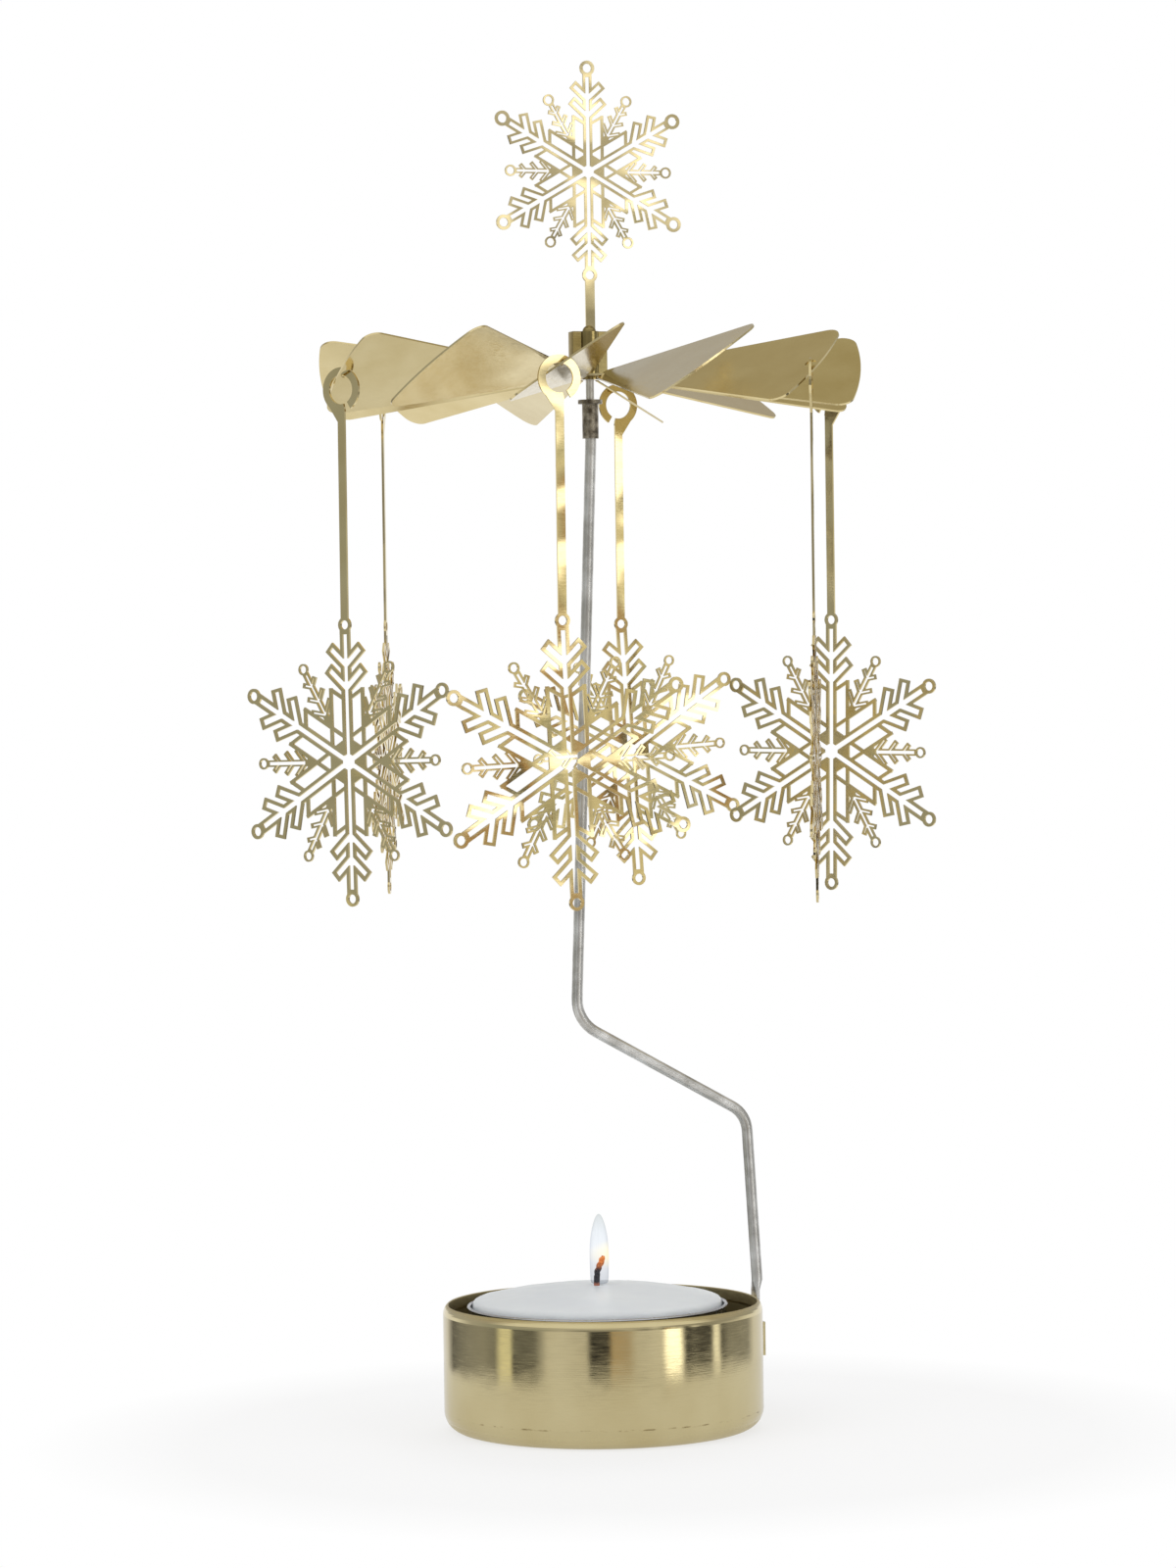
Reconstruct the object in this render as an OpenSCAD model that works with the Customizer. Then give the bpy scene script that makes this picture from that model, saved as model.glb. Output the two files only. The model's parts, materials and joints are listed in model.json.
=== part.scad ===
// Candle carousel: a brass tealight cup, a bent steel rod with a needle on top,
// and a twelve-bladed wheel that turns on the needle and carries six snowflakes.
// Millimetres, +Z up. The origin is the centre of the cup's underside.

/* [Cup] */
// Room between the tealight and the cup's wall, when the tealight is centred
cup_room = 4.2; // [2.4:0.1:8]
// Height of the cup
cup_h = 18.7; // [16:0.1:24]
// Thickness of the cup's sheet
cup_wall = 0.5; // [0.4:0.05:0.8]
// Radius between the cup's wall and its bottom
cup_corner_r = 3; // [1.5:0.1:4]
// Radius of the rolled rim's outer shoulder
rim_r = 1.7; // [1:0.1:1.8]
// Thickness of the rolled rim
rim_t = 0.8; // [0.8:0.05:1.2]

/* [Strap on the cup] */
// Distance from the rim down to the strap
strap_drop = 4; // [3:0.1:6]
// Height of the strap
strap_h = 5; // [3:0.1:6]
// Thickness of the strap
strap_t = 0.4; // [0.3:0.05:0.6]

/* [Rod] */
// Diameter of the rod
rod_d = 1.65; // [1.4:0.05:2]
// Direction of the rod's foot around the cup, in degrees
rod_yaw = 18; // [0:1:30]
// Sideways offset of the rod at its upper bend
rod_offset = 3.45; // [2:0.05:5]
// Height of the upper bend
upper_bend_z = 60.5; // [57:0.5:70]
// Height of the lower bend
lower_bend_z = 45.7; // [42:0.5:52]
// Radius of the slight bend below the sleeve
top_bend_r = 5; // [4:0.1:7]
// Radius of the upper bend
upper_bend_r = 5.5; // [4:0.1:7]
// Radius of the lower bend
lower_bend_r = 4.5; // [3:0.1:6]
// Thickness of the flattened foot
foot_t = 0.7; // [0.5:0.05:0.9]
// Width of the flattened foot
foot_w = 2.4; // [2:0.1:3]
// Length of the foot below the strap
foot_tail = 1; // [0.5:0.1:2]

/* [Needle and sleeve] */
// Wall of the sleeve that joins the rod and the needle
sleeve_wall = 0.355; // [0.2:0.005:0.7]
// Distance from the wheel's centre plane down to the sleeve
sleeve_drop = 3.5; // [2.5:0.1:8]
// Length of the sleeve
sleeve_len = 5.7; // [5:0.1:7]
// Width of the sleeve's top flange
sleeve_flange_w = 0.6; // [0.3:0.05:1]
// Thickness of the sleeve's top flange
sleeve_flange_t = 0.6; // [0.4:0.05:0.8]
// Length of the rod inside the sleeve
rod_grip = 2.8; // [2:0.1:3]
// Diameter of the needle
needle_d = 1.2; // [1:0.05:1.3]
// Length of the needle's pointed tip
tip_len = 1.6; // [1:0.1:2.5]

/* [Bearing and clip] */
// Wall of the bearing cap
cap_wall = 0.325; // [0.25:0.005:0.5]
// Radial running clearance of the needle in the cap
needle_gap = 0.075; // [0.04:0.005:0.1]
// Height of the cap's straight wall above the wheel's centre plane
cap_h = 6.6; // [6:0.1:8]
// Height of the cap's round top
cap_dome = 0.9; // [0.6:0.05:1]
// Width of the cap's flange under the wheel
cap_flange_w = 0.8; // [0.4:0.05:1.4]
// Thickness of the cap's flange
cap_flange_t = 0.4; // [0.3:0.05:0.6]
// Width of the ornament clip
clip_w = 5.3; // [4.8:0.1:6]
// Height of the clip above the wheel
clip_h = 6.45; // [5:0.05:7]
// Thickness of the clip's sheet
clip_t = 0.35; // [0.25:0.05:0.5]

/* [Wheel] */
// Number of blades
blade_count = 12; // [12]
// Radius of the wheel
wheel_r = 40; // [36:0.5:46]
// Height of the wheel's centre plane
wheel_z = 155.8; // [150:0.1:165]
// Thickness of the wheel's sheet
wheel_t = 0.3; // [0.2:0.05:0.4]
// Radius of the flat hub
hub_r = 5.2; // [4.8:0.1:7]
// Twist of each blade about its own centre line, in degrees
blade_tilt = 33; // [25:1:38]
// Width of the slit between two blades
slit_w = 0.3; // [0.2:0.05:0.6]
// Radius of the blades' outer corners
blade_corner_r = 2.2; // [1:0.1:3]
// Direction of the first blade, in degrees
first_blade = -95; // [-110:1:-80]
// Clearance of the hook in its hole in the blade
hook_clear = 0.08; // [0.08:0.01:0.14]
// Width of the sheet between that hole and the blade's outer edge
hole_wall = 0.32; // [0.25:0.01:0.4]

/* [Hangers] */
// Thickness of the cut sheet
sheet_t = 0.35; // [0.25:0.05:0.4]
// Outer radius of the hook ring
hook_r = 3.25; // [3.2:0.05:3.4]
// Width of the hook ring's band
hook_band = 1.15; // [1:0.05:1.2]
// Clearance between the hook and the blade that it hangs on
hook_gap = 0.45; // [0.42:0.01:0.5]
// Angle between the hook's plane and the blade's centre line, in degrees
hook_yaw = 60; // [55:1:60]
// Width of the strip below the hook
strip_w = 1.25; // [1:0.05:1.5]
// Distance from the hook's centre to the snowflake's top ring
strip_len = 34; // [25:0.5:45]
// Radius of a hanging snowflake, from its centre to its tip rings
flake_r = 19.85; // [15:0.05:22]
// Slight bend of each snowflake on its strip, in degrees
flake_bend = [-2.3, 0, -0.8, 3.6, 0, -1]; // [-5:0.1:5]

/* [Top ornament] */
// Radius of the top snowflake, from its centre to its tip rings
top_flake_r = 15.25; // [12:0.05:18]
// Height of the top snowflake's lowest ring above the wheel
top_strip_len = 15; // [12:0.1:20]
// Width of the strip that goes into the clip
top_strip_w = 1.4; // [1:0.05:1.8]
// Sideways offset of the strip in the clip
top_strip_x = 0.6; // [0:0.05:0.9]
// Direction of the top snowflake, in degrees
top_yaw = 18; // [0:1:40]

/* [Rings on the snowflakes] */
// Outer radius of a tip ring
ring_r = 1.13; // [1:0.01:1.3]
// Radius of the hole in a tip ring
ring_hole = 0.67; // [0.5:0.01:0.75]
// Outer radius of a small ring
small_ring_r = 0.85; // [0.75:0.01:0.95]
// Radius of the hole in a small ring
small_ring_hole = 0.58; // [0.4:0.01:0.6]

/* [Snowflake pattern, as shares of its radius] */
// Half width of a main arm
arm_half = 0.044; // [0.04:0.001:0.05]
// Half width of the open slot inside a main arm
arm_slot = 0.02; // [0.017:0.001:0.024]
// Half width of a branch
branch_half = 0.046; // [0.042:0.001:0.05]
// Angle between a branch and its arm, in degrees
branch_angle = 48; // [42:1:54]
// Offset of the rail beside each main arm
rail_offset = 0.145; // [0.12:0.001:0.16]
// Thickness of the rails
rail_t = 0.026; // [0.021:0.0005:0.03]
// Outer end of the rails
rail_end = 0.53; // [0.48:0.01:0.55]
// Distance of the small arms' rings from the centre
small_ring_at = 0.79; // [0.76:0.01:0.82]

/* [Tealight] */
// Diameter of the tealight's shell
light_d = 38; // [36:0.1:39]
// Height of the tealight's shell
light_h = 18; // [15:0.1:20]
// Thickness of the shell
light_wall = 0.25; // [0.2:0.05:0.4]
// Sideways offset of the tealight in the cup
light_x = -0.8; // [-2:0.1:0]
// Height of the wax edge above the shell
wax_edge = 0.9; // [0.2:0.1:1.5]
// Rise of the wax from its edge to the wick
wax_rise = 1.9; // [0:0.1:2.5]
// Diameter of the wick
wick_d = 0.85; // [0.6:0.05:1.2]
// Height of the wick above the wax
wick_h = 4.5; // [3:0.1:6]
// Sideways lean of the wick's tip
wick_lean = 0.95; // [0.5:0.05:1.5]

/* [Hidden] */

brass = [0.80, 0.72, 0.50];
steel = [0.55, 0.54, 0.51];
dark_steel = [0.27, 0.26, 0.25];
aluminium = [0.82, 0.82, 0.84];
wax_white = [0.90, 0.91, 0.95];
char_black = [0.10, 0.09, 0.09];

eps = 0.01;
fit_gap = 0.02;        // between pieces pressed together by hand
foot_gap = 0.03;       // on each side of the flattened foot
sheet_gap = 0.05;      // round sheets that slip over each other
round_fn = 96;
pin_fn = 48;
blade_fn = 180;
ring_fn = 20;
small_ring_fn = 16;
wire_sides = 24;
cup_r = light_d / 2 + cup_room + cup_wall;
rim_sweep = 50;        // the rim's shoulder leans this far inwards
lip_round = 0.12;      // rounding of the rim's top edge
shoulder_z = cup_h - rim_r * sin(rim_sweep) - 0.03;
rim_step = [0.2, 0.6]; // from the shoulder down to the ends of the slope inside the rim

// strap and foot
foot_r = cup_r + foot_gap + foot_t / 2;
strap_r = cup_r + foot_t + 2 * foot_gap + strap_t;
strap_top = cup_h - strap_drop;
pocket_side = 0.3;     // on each side of the foot, inside the strap
strap_land = 0.8;      // strap's ends that lie on the cup
pocket_angle = 2 * asin((foot_w / 2 + pocket_side) / cup_r);
strap_angle = pocket_angle + 2 * asin(strap_land / cup_r);
foot_top = cup_h + 0.6;
foot_end = strap_top - strap_h - foot_tail;
flatten_len = 1.5;     // from the round rod to the flat foot
rod_foot_r = foot_r + 0.3;                         // the round rod stands this far outside its foot
foot_square = 0.35;    // squareness of the flattened foot
foot_splay = 1.4;      // the rod leans outwards by this much between the lower bend and the foot

// needle, sleeve and cap
sleeve_top = wheel_z - sleeve_drop;
sleeve_z = sleeve_top - sleeve_len;
sleeve_d = rod_d + 2 * (fit_gap + sleeve_wall);
rod_top = sleeve_z + rod_grip;
needle_low = rod_top + 0.1;
bore_r = needle_d / 2 + needle_gap;
cap_d = 2 * (bore_r + cap_wall);
seat_len = 1.2;        // conical seat at the bore's end
seat_top = wheel_z + cap_h - 0.2;
bore_end = seat_top - seat_len;
tip_r = 0.06;
tip_z = seat_top - 0.15;                           // clearance at the needle's tip
strip_y = cap_d / 2 + sheet_gap + sheet_t / 2;     // the ornament's plane behind the cap
clip_back = strip_y + sheet_t / 2 + sheet_gap + clip_t;

// wheel and hooks
blade_root = hub_r - 1;
blade_neck = wheel_r - 7 * blade_corner_r;         // corners are rounded outside this radius
blade_half_angle = 180 / blade_count;
hook_in = hook_r - hook_band;
hook_slope = atan(tan(blade_tilt) * sin(hook_yaw));
hook_drop = hook_in - wheel_t / 2 - hook_gap;
hook_skew = sin(blade_tilt) * cos(hook_yaw);
blade_reach = (wheel_t + sheet_t * hook_skew) / 2 / sqrt(1 - pow(hook_skew, 2));
hook_far = sqrt(pow(hook_r, 2) - pow(hook_drop - blade_reach, 2));
hook_near = sqrt(pow(hook_in, 2) - pow(hook_drop + blade_reach, 2));
hook_run = (hook_far + hook_near) / 2;
hook_hole_d = 2 * hook_clear
    + norm([hook_far - hook_near, sheet_t / sqrt(1 - pow(hook_skew, 2))]);
hook_hole_r = wheel_r - hole_wall - hook_hole_d / 2;
hook_x = hook_run * cos(hook_slope) - hook_drop * sin(hook_slope);
hook_z = -hook_run * sin(hook_slope) - hook_drop * cos(hook_slope);
hanger_count = blade_count / 2;
hook_mouth = 248;      // direction of the hook's opening, in degrees
hook_mouth_angle = 19;
neck_len = 1.4;        // tapered neck between the hook's ring and the strip
neck_angle = 50;       // where the neck leaves the ring, in degrees below the ring's side
strip_lap = 0.15;      // overlap of the strip and the rings at its ends

// snowflake pattern
arm_wall = arm_half - arm_slot;
branches = [[0.707, 0.2], [0.539, 0.22]];                     // distance of the root, length
small_arm_half = 0.025;
small_wall = 0.0135;
twig_half = 0.0195;
twig_angle = 50;
small_twigs = [[0.4, 0.13], [0.515, 0.105], [0.64, 0.08]];    // distance of the root, length
heart_r = 0.16;        // outer edge of the solid corner between two arms
web_r = 0.385;         // outer edge of the solid web outside the rails' crossing
web_dip = 0.02;        // hollow in the web's outer edge
lap = 0.03;            // overlap of bars that run into each other
centre_r = 0.06;       // opening where the arms' slots meet

// tealight
light_z = cup_wall + fit_gap;
light_r = light_d / 2;
light_top = light_z + light_h;
lip_r = 0.28;          // rolled edge of the shell
lip_drop = 0.3;        // its centre below the shell's top
shell_bevel = 0.6;     // bevelled corner at the shell's bottom
wax_r = light_r - light_wall - sheet_gap;
wax_low = light_z + light_wall + sheet_gap;
wax_inset = 0.3;       // the wax above the shell stands in from its wall by this much
wax_shoulder = 0.5;    // round edge of the wax
wax_power = 2.2;       // how quickly the dome rises from its edge
wax_top = light_top + wax_edge + wax_rise;
sustainer_r = 6;
sustainer_t = 0.3;
collar_r = 1.1;
collar_h = 4;
collar_gap = 0.03;     // between the wick and the wax
wick_bend_r = 3;

function arc(centre, r, a0, a1, n) =
    [for (i = [0:n]) centre + r * [cos(a0 + (a1 - a0) * i / n), sin(a0 + (a1 - a0) * i / n)]];

// ---------- bent wire: a section swept along a path in the XZ plane ----------
// A station is [x, z, direction, half thickness, half width, squareness].

function unit(v) = v / norm(v);
function heading(v) = atan2(v.y, v.x);
function turn(u, v) = atan2(u.x * v.y - u.y * v.x, u * v);

// Stations round corner i of the path, which is bent to radius r.
function corner_stations(path, r, i, d) =
    let (u = unit(path[i] - path[i - 1]), a = turn(u, unit(path[i + 1] - path[i])))
    let (start = path[i] - u * r * tan(abs(a) / 2), centre = start + sign(a) * r * [-u.y, u.x])
    let (q = heading(start - centre), n = max(2, ceil(abs(a) / 8)))
    [for (k = [0:n]) [centre.x + r * cos(q + a * k / n), centre.y + r * sin(q + a * k / n),
                      heading(u) + a * k / n, d / 2, d / 2, 1]];

function wire_stations(path, radii, d) = concat(
    [[path[0].x, path[0].y, heading(path[1] - path[0]), d / 2, d / 2, 1]],
    [for (i = [1:len(path) - 2]) each corner_stations(path, radii[i], i, d)],
    [let (end = path[len(path) - 1])
        [end.x, end.y, heading(end - path[len(path) - 2]), d / 2, d / 2, 1]]);

function rounded(t, squareness) = sign(t) * pow(abs(t), squareness);
function section(st) =
    [for (j = [0:wire_sides - 1]) let (a = 360 * j / wire_sides, n = st[3] * rounded(cos(a), st[5]))
        [st.x - n * sin(st.z), st[4] * rounded(sin(a), st[5]), st.y + n * cos(st.z)]];

module swept(stations) {
    n = wire_sides;
    rings = len(stations);
    polyhedron(
        points = [for (st = stations) each section(st)],
        faces = concat(
            [[for (j = [n - 1:-1:0]) j]],
            [for (k = [0:rings - 2], j = [0:n - 1]) each [
                [k * n + j, k * n + (j + 1) % n, (k + 1) * n + (j + 1) % n],
                [k * n + j, (k + 1) * n + (j + 1) % n, (k + 1) * n + j]]],
            [[for (j = [0:n - 1]) (rings - 1) * n + j]]));
}

// ---------- cup ----------

module cup_profile() {
    polygon(concat(
        [[0, 0]],
        arc([cup_r - cup_corner_r, cup_corner_r], cup_corner_r, -90, 0, 8),
        arc([cup_r - rim_r, shoulder_z], rim_r, 0, rim_sweep, 6),
        arc([cup_r - rim_t + lip_round, cup_h - lip_round], lip_round, 80, 180, 3),
        [[cup_r - rim_t, shoulder_z - rim_step[0]], [cup_r - cup_wall, shoulder_z - rim_step[1]]],
        arc([cup_r - cup_corner_r, cup_corner_r], cup_corner_r - cup_wall, 0, -90, 8),
        [[0, cup_wall]]
    ));
}

// A block of the cup's wall, centred on the rod's direction.
module wall_block(inner_r, outer_r, z, h, angle) {
    rotate([0, 0, rod_yaw - angle / 2])
        rotate_extrude(angle = angle, $fn = round_fn)
            translate([inner_r, z])
                square([outer_r - inner_r, h]);
}

module cup() {
    color(brass)
        difference() {
            union() {
                rotate_extrude($fn = round_fn) cup_profile();
                wall_block(cup_r - cup_wall / 2, strap_r, strap_top - strap_h, strap_h, strap_angle);
            }
            wall_block(cup_r - 2 * cup_wall, strap_r - strap_t, strap_top - strap_h - eps,
                       strap_h + 2 * eps, pocket_angle);
        }
}

// ---------- rod, sleeve and needle ----------

module stand_rod() {
    path = [[0, rod_top], [0, sleeve_z - 1], [-rod_offset, upper_bend_z],
            [rod_foot_r - foot_splay, lower_bend_z], [rod_foot_r, foot_top + flatten_len]];
    radii = [0, top_bend_r, upper_bend_r, lower_bend_r, 0];
    foot = [for (z = [foot_top, foot_end + foot_t, foot_end])
        [foot_r, z, -90, foot_t / 2, foot_w / 2 - (z == foot_end ? foot_t / 2 : 0), foot_square]];
    color(steel)
        rotate([0, 0, rod_yaw])
            swept(concat(wire_stations(path, radii, rod_d), foot));
}

module needle_sleeve() {
    color(dark_steel)
        difference() {
            union() {
                translate([0, 0, sleeve_z]) cylinder(h = sleeve_len, d = sleeve_d, $fn = pin_fn);
                translate([0, 0, sleeve_top - sleeve_flange_t])
                    cylinder(h = sleeve_flange_t, d = sleeve_d + 2 * sleeve_flange_w, $fn = pin_fn);
            }
            translate([0, 0, sleeve_z - eps])
                cylinder(h = rod_grip + sheet_gap + eps, d = rod_d + 2 * fit_gap, $fn = pin_fn);
            translate([0, 0, sleeve_z])
                cylinder(h = sleeve_len + eps, d = needle_d + 2 * fit_gap, $fn = pin_fn);
        }
}

module needle() {
    color(steel) {
        translate([0, 0, needle_low])
            cylinder(h = tip_z - tip_len - needle_low, d = needle_d, $fn = pin_fn);
        translate([0, 0, tip_z - tip_len])
            cylinder(h = tip_len, d1 = needle_d, d2 = 2 * tip_r, $fn = pin_fn);
    }
}

// ---------- bearing cap and ornament clip ----------

module bearing_cap() {
    low = wheel_z - wheel_t / 2 - cap_flange_t;
    color(brass)
        difference() {
            union() {
                translate([0, 0, low]) cylinder(h = cap_flange_t, d = cap_d + 2 * cap_flange_w, $fn = pin_fn);
                translate([0, 0, low])
                    cylinder(h = wheel_z + cap_h - low, d = cap_d, $fn = pin_fn);
                translate([0, 0, wheel_z + cap_h])
                    rotate_extrude($fn = pin_fn)
                        polygon(concat([[0, 0]], [for (a = [0:15:90])
                            [cap_d / 2 * cos(a), cap_dome * sin(a)]]));
            }
            translate([0, 0, low - eps]) cylinder(h = bore_end - low + eps, r = bore_r, $fn = pin_fn);
            translate([0, 0, bore_end - eps])
                cylinder(h = seat_top - bore_end + eps, r1 = bore_r, r2 = tip_r, $fn = pin_fn);
        }
}

module ornament_clip() {
    color(brass)
        rotate([0, 0, top_yaw])
            translate([0, 0, wheel_z + wheel_t / 2])
                linear_extrude(clip_h)
                    difference() {
                        union() {
                            translate([-clip_w / 2, -clip_t]) square([clip_w, clip_back + clip_t]);
                            circle(r = cap_d / 2 + sheet_gap + clip_t, $fn = pin_fn);
                        }
                        translate([-clip_w / 2 + clip_t, 0])
                            square([clip_w - 2 * clip_t, clip_back - clip_t]);
                        circle(r = cap_d / 2 + sheet_gap, $fn = pin_fn);
                    }
}

// ---------- wheel ----------

// A sector of the wheel's disc, out to radius r, with half a slit taken off each side.
module sector(r) {
    apex = slit_w / 2 / sin(blade_half_angle);
    half = (2 * r - apex) * tan(blade_half_angle);
    intersection() {
        circle(r = r, $fn = blade_fn);
        polygon([[apex, 0], [2 * r, half], [2 * r, -half]]);
    }
}

module blade_shape() {
    difference() {
        union() {
            offset(r = blade_corner_r, $fn = 32)
                offset(delta = -blade_corner_r)
                    sector(wheel_r);
            sector(blade_neck);
        }
        circle(r = blade_root, $fn = pin_fn);
    }
}

module wheel() {
    color(brass)
        translate([0, 0, wheel_z])
            difference() {
                union() {
                    translate([0, 0, -wheel_t / 2]) cylinder(h = wheel_t, r = hub_r, $fn = round_fn);
                    for (i = [0:blade_count - 1])
                        rotate([0, 0, first_blade + i * 360 / blade_count])
                            rotate([blade_tilt, 0, 0])
                                translate([0, 0, -wheel_t / 2])
                                    linear_extrude(wheel_t) blade_shape();
                }
                translate([0, 0, -wheel_t]) cylinder(h = 2 * wheel_t, d = cap_d + 2 * fit_gap, $fn = pin_fn);
                for (i = [0:hanger_count - 1])
                    rotate([0, 0, first_blade + i * 360 / hanger_count])
                        rotate([blade_tilt, 0, 0])
                            translate([hook_hole_r, 0, -wheel_t])
                                cylinder(h = 2 * wheel_t, d = hook_hole_d, $fn = 32);
            }
}

// ---------- snowflake pattern, drawn with a radius of 1 and rings of their own size ----------

module bar(from, to, half) {
    translate(from)
        rotate(atan2(to.y - from.y, to.x - from.x))
            translate([0, -half])
                square([norm(to - from), 2 * half]);
}

module twigs(list, angle, cut, half) {
    for (b = list, side = [-1, 1])
        bar([b[0], 0], [b[0], 0] + (b[1] - cut) * [cos(angle), side * sin(angle)], half);
}

// Rails on both sides of a main arm, with slanted ends that run parallel to the next arm.
module rails() {
    for (side = [-1, 1]) {
        bar([rail_offset / tan(60), side * rail_offset],
            [rail_end + rail_t / 2, side * rail_offset], rail_t / 2);
        bar([rail_end - rail_offset / tan(60), 0], [rail_end, side * rail_offset], rail_t / 2);
    }
}

// The solid corner between two arms and the solid web outside the rails' crossing.
module webs() {
    cross_r = 2 * rail_offset;
    reach = (web_r - cross_r) * tan(30);
    polygon([[0, 0], [heart_r, heart_r * tan(30)], [heart_r, -heart_r * tan(30)]]);
    polygon([[cross_r, 0], [web_r, reach], [web_r - web_dip, 0], [web_r, -reach]]);
}

module snowflake_shape(r) {
    offset(delta = 0)
        scale(r)
            difference() {
                for (i = [0:5])
                    rotate(90 + 60 * i) {
                        bar([0, 0], [1 - ring_hole / r, 0], arm_half);
                        twigs(branches, branch_angle, 0, branch_half);
                        rails();
                        translate([1, 0]) circle(r = ring_r / r, $fn = ring_fn);
                        rotate(30) {
                            webs();
                            bar([web_r - lap, 0], [small_ring_at - small_ring_hole / r, 0], small_arm_half);
                            twigs(small_twigs, twig_angle, 0, twig_half);
                            translate([small_ring_at, 0])
                                circle(r = small_ring_r / r, $fn = small_ring_fn);
                        }
                    }
                circle(r = centre_r, $fn = ring_fn);
                for (i = [0:5])
                    rotate(90 + 60 * i) {
                        bar([0, 0], [1 - ring_r / r - arm_wall / 2, 0], arm_slot);
                        twigs(branches, branch_angle, arm_wall, branch_half - arm_wall);
                        translate([1, 0]) circle(r = ring_hole / r, $fn = ring_fn);
                        rotate(30) {
                            bar([web_r + small_wall, 0],
                                [small_ring_at - small_ring_r / r - small_wall / 2, 0],
                                small_arm_half - small_wall);
                            twigs(small_twigs, twig_angle, small_wall, twig_half - small_wall);
                            translate([small_ring_at, 0])
                                circle(r = small_ring_hole / r, $fn = small_ring_fn);
                        }
                    }
            }
}

module top_snowflake() {
    ring_z = wheel_z + top_strip_len;
    strip_low = wheel_z + wheel_t / 2 + fit_gap;
    color(brass)
        rotate([0, 0, top_yaw])
            translate([top_strip_x, strip_y + sheet_t / 2, 0])
                rotate([90, 0, 0])
                    linear_extrude(sheet_t) {
                        translate([0, ring_z + top_flake_r]) snowflake_shape(top_flake_r);
                        translate([-top_strip_w / 2, strip_low])
                            square([top_strip_w, ring_z - ring_hole - strip_lap - strip_low]);
                    }
}

// ---------- hangers ----------

// Flat hook, strip and snowflake in one sheet. The hook's centre is at [0, 0].
module hanger_shape(bend) {
    difference() {
        circle(r = hook_r, $fn = pin_fn);
        circle(r = hook_in, $fn = pin_fn);
        rotate(hook_mouth)
            polygon([[0, 0], 2 * hook_r * [cos(hook_mouth_angle / 2), -sin(hook_mouth_angle / 2)],
                     2 * hook_r * [cos(hook_mouth_angle / 2), sin(hook_mouth_angle / 2)]]);
    }
    strip_low = -strip_len + ring_hole + strip_lap;
    translate([-strip_w / 2, strip_low])
        square([strip_w, -strip_low - hook_in - hook_band / 3]);
    polygon([[0, -hook_in - hook_band / 2], hook_r * [cos(neck_angle), -sin(neck_angle)],
             [strip_w / 2, -hook_r - neck_len], [0, -hook_r - neck_len]]);
    translate([0, -strip_len])
        rotate(bend)
            translate([0, -flake_r])
                snowflake_shape(flake_r);
}

module snowflake_hanger(i) {
    color(brass)
        rotate([0, 0, first_blade + i * 360 / hanger_count])
            translate([hook_hole_r, 0, wheel_z])
                rotate([0, 0, -hook_yaw])
                    translate([hook_x, sheet_t / 2, hook_z])
                        rotate([90, 0, 0])
                            linear_extrude(sheet_t)
                                offset(delta = 0) hanger_shape(flake_bend[i]);
}

// ---------- tealight ----------

module tealight_shell() {
    color(aluminium)
        translate([light_x, 0, light_z])
            rotate_extrude($fn = round_fn) {
                polygon([[0, 0], [light_r - shell_bevel, 0], [light_r, shell_bevel],
                         [light_r, light_h - lip_drop], [light_r - light_wall, light_h - lip_drop],
                         [light_r - light_wall, shell_bevel + 0.1],
                         [light_r - shell_bevel - 0.1, light_wall], [0, light_wall]]);
                translate([light_r - light_wall / 2 + 0.1, light_h - lip_drop])
                    circle(r = lip_r, $fn = 24);
            }
}

module wax() {
    edge_z = light_top + wax_edge;
    edge_r = light_r - light_wall - wax_inset;
    hole_r = wick_d / 2 + collar_gap;
    room_r = sustainer_r + sheet_gap;
    color(wax_white)
        translate([light_x, 0, 0])
            rotate_extrude($fn = round_fn)
                polygon(concat(
                    [[hole_r, wax_low + collar_h + 0.5], [collar_r + sheet_gap, wax_low + collar_h + 0.3],
                     [collar_r + sheet_gap, wax_low + sustainer_t + sheet_gap],
                     [room_r, wax_low + sustainer_t + sheet_gap], [room_r, wax_low],
                     [wax_r - shell_bevel - 0.1, wax_low], [wax_r, wax_low + shell_bevel + 0.1],
                     [wax_r, light_top - 1], [edge_r, light_top - 0.8]],
                    arc([edge_r - wax_shoulder, edge_z - wax_shoulder], wax_shoulder, 0, 75, 4),
                    [for (i = [1:8]) let (t = i / 8)
                        [(edge_r - wax_shoulder) * (1 - t) + hole_r * t,
                         edge_z + wax_rise * (1 - pow(1 - t, wax_power))]]
                ));
}

module wick() {
    path = [[0, wax_low + sheet_gap], [0, wax_top + wick_h / 3], [wick_lean, wax_top + wick_h]];
    color(char_black)
        translate([light_x, 0, 0])
            swept(wire_stations(path, [0, wick_bend_r, 0], wick_d));
}

module wick_sustainer() {
    color(aluminium)
        translate([light_x, 0, wax_low])
            difference() {
                union() {
                    cylinder(h = sustainer_t, r = sustainer_r, $fn = pin_fn);
                    cylinder(h = collar_h, r = collar_r, $fn = pin_fn);
                }
                translate([0, 0, -eps])
                    cylinder(h = collar_h + 1, d = wick_d + 2 * fit_gap, $fn = pin_fn);
            }
}

cup();
stand_rod();
needle_sleeve();
needle();
tealight_shell();
wax();
wick();
wick_sustainer();
wheel();
bearing_cap();
ornament_clip();
top_snowflake();
snowflake_hanger(0);  // snowflake_hanger_1
snowflake_hanger(1);  // snowflake_hanger_2
snowflake_hanger(2);  // snowflake_hanger_3
snowflake_hanger(3);  // snowflake_hanger_4
snowflake_hanger(4);  // snowflake_hanger_5
snowflake_hanger(5);  // snowflake_hanger_6
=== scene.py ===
"""Looks of the snowflake candle carousel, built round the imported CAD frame. Metres, +Z up."""
import json
import math

import bmesh
import bpy
from mathutils import Matrix, Vector, noise

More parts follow.
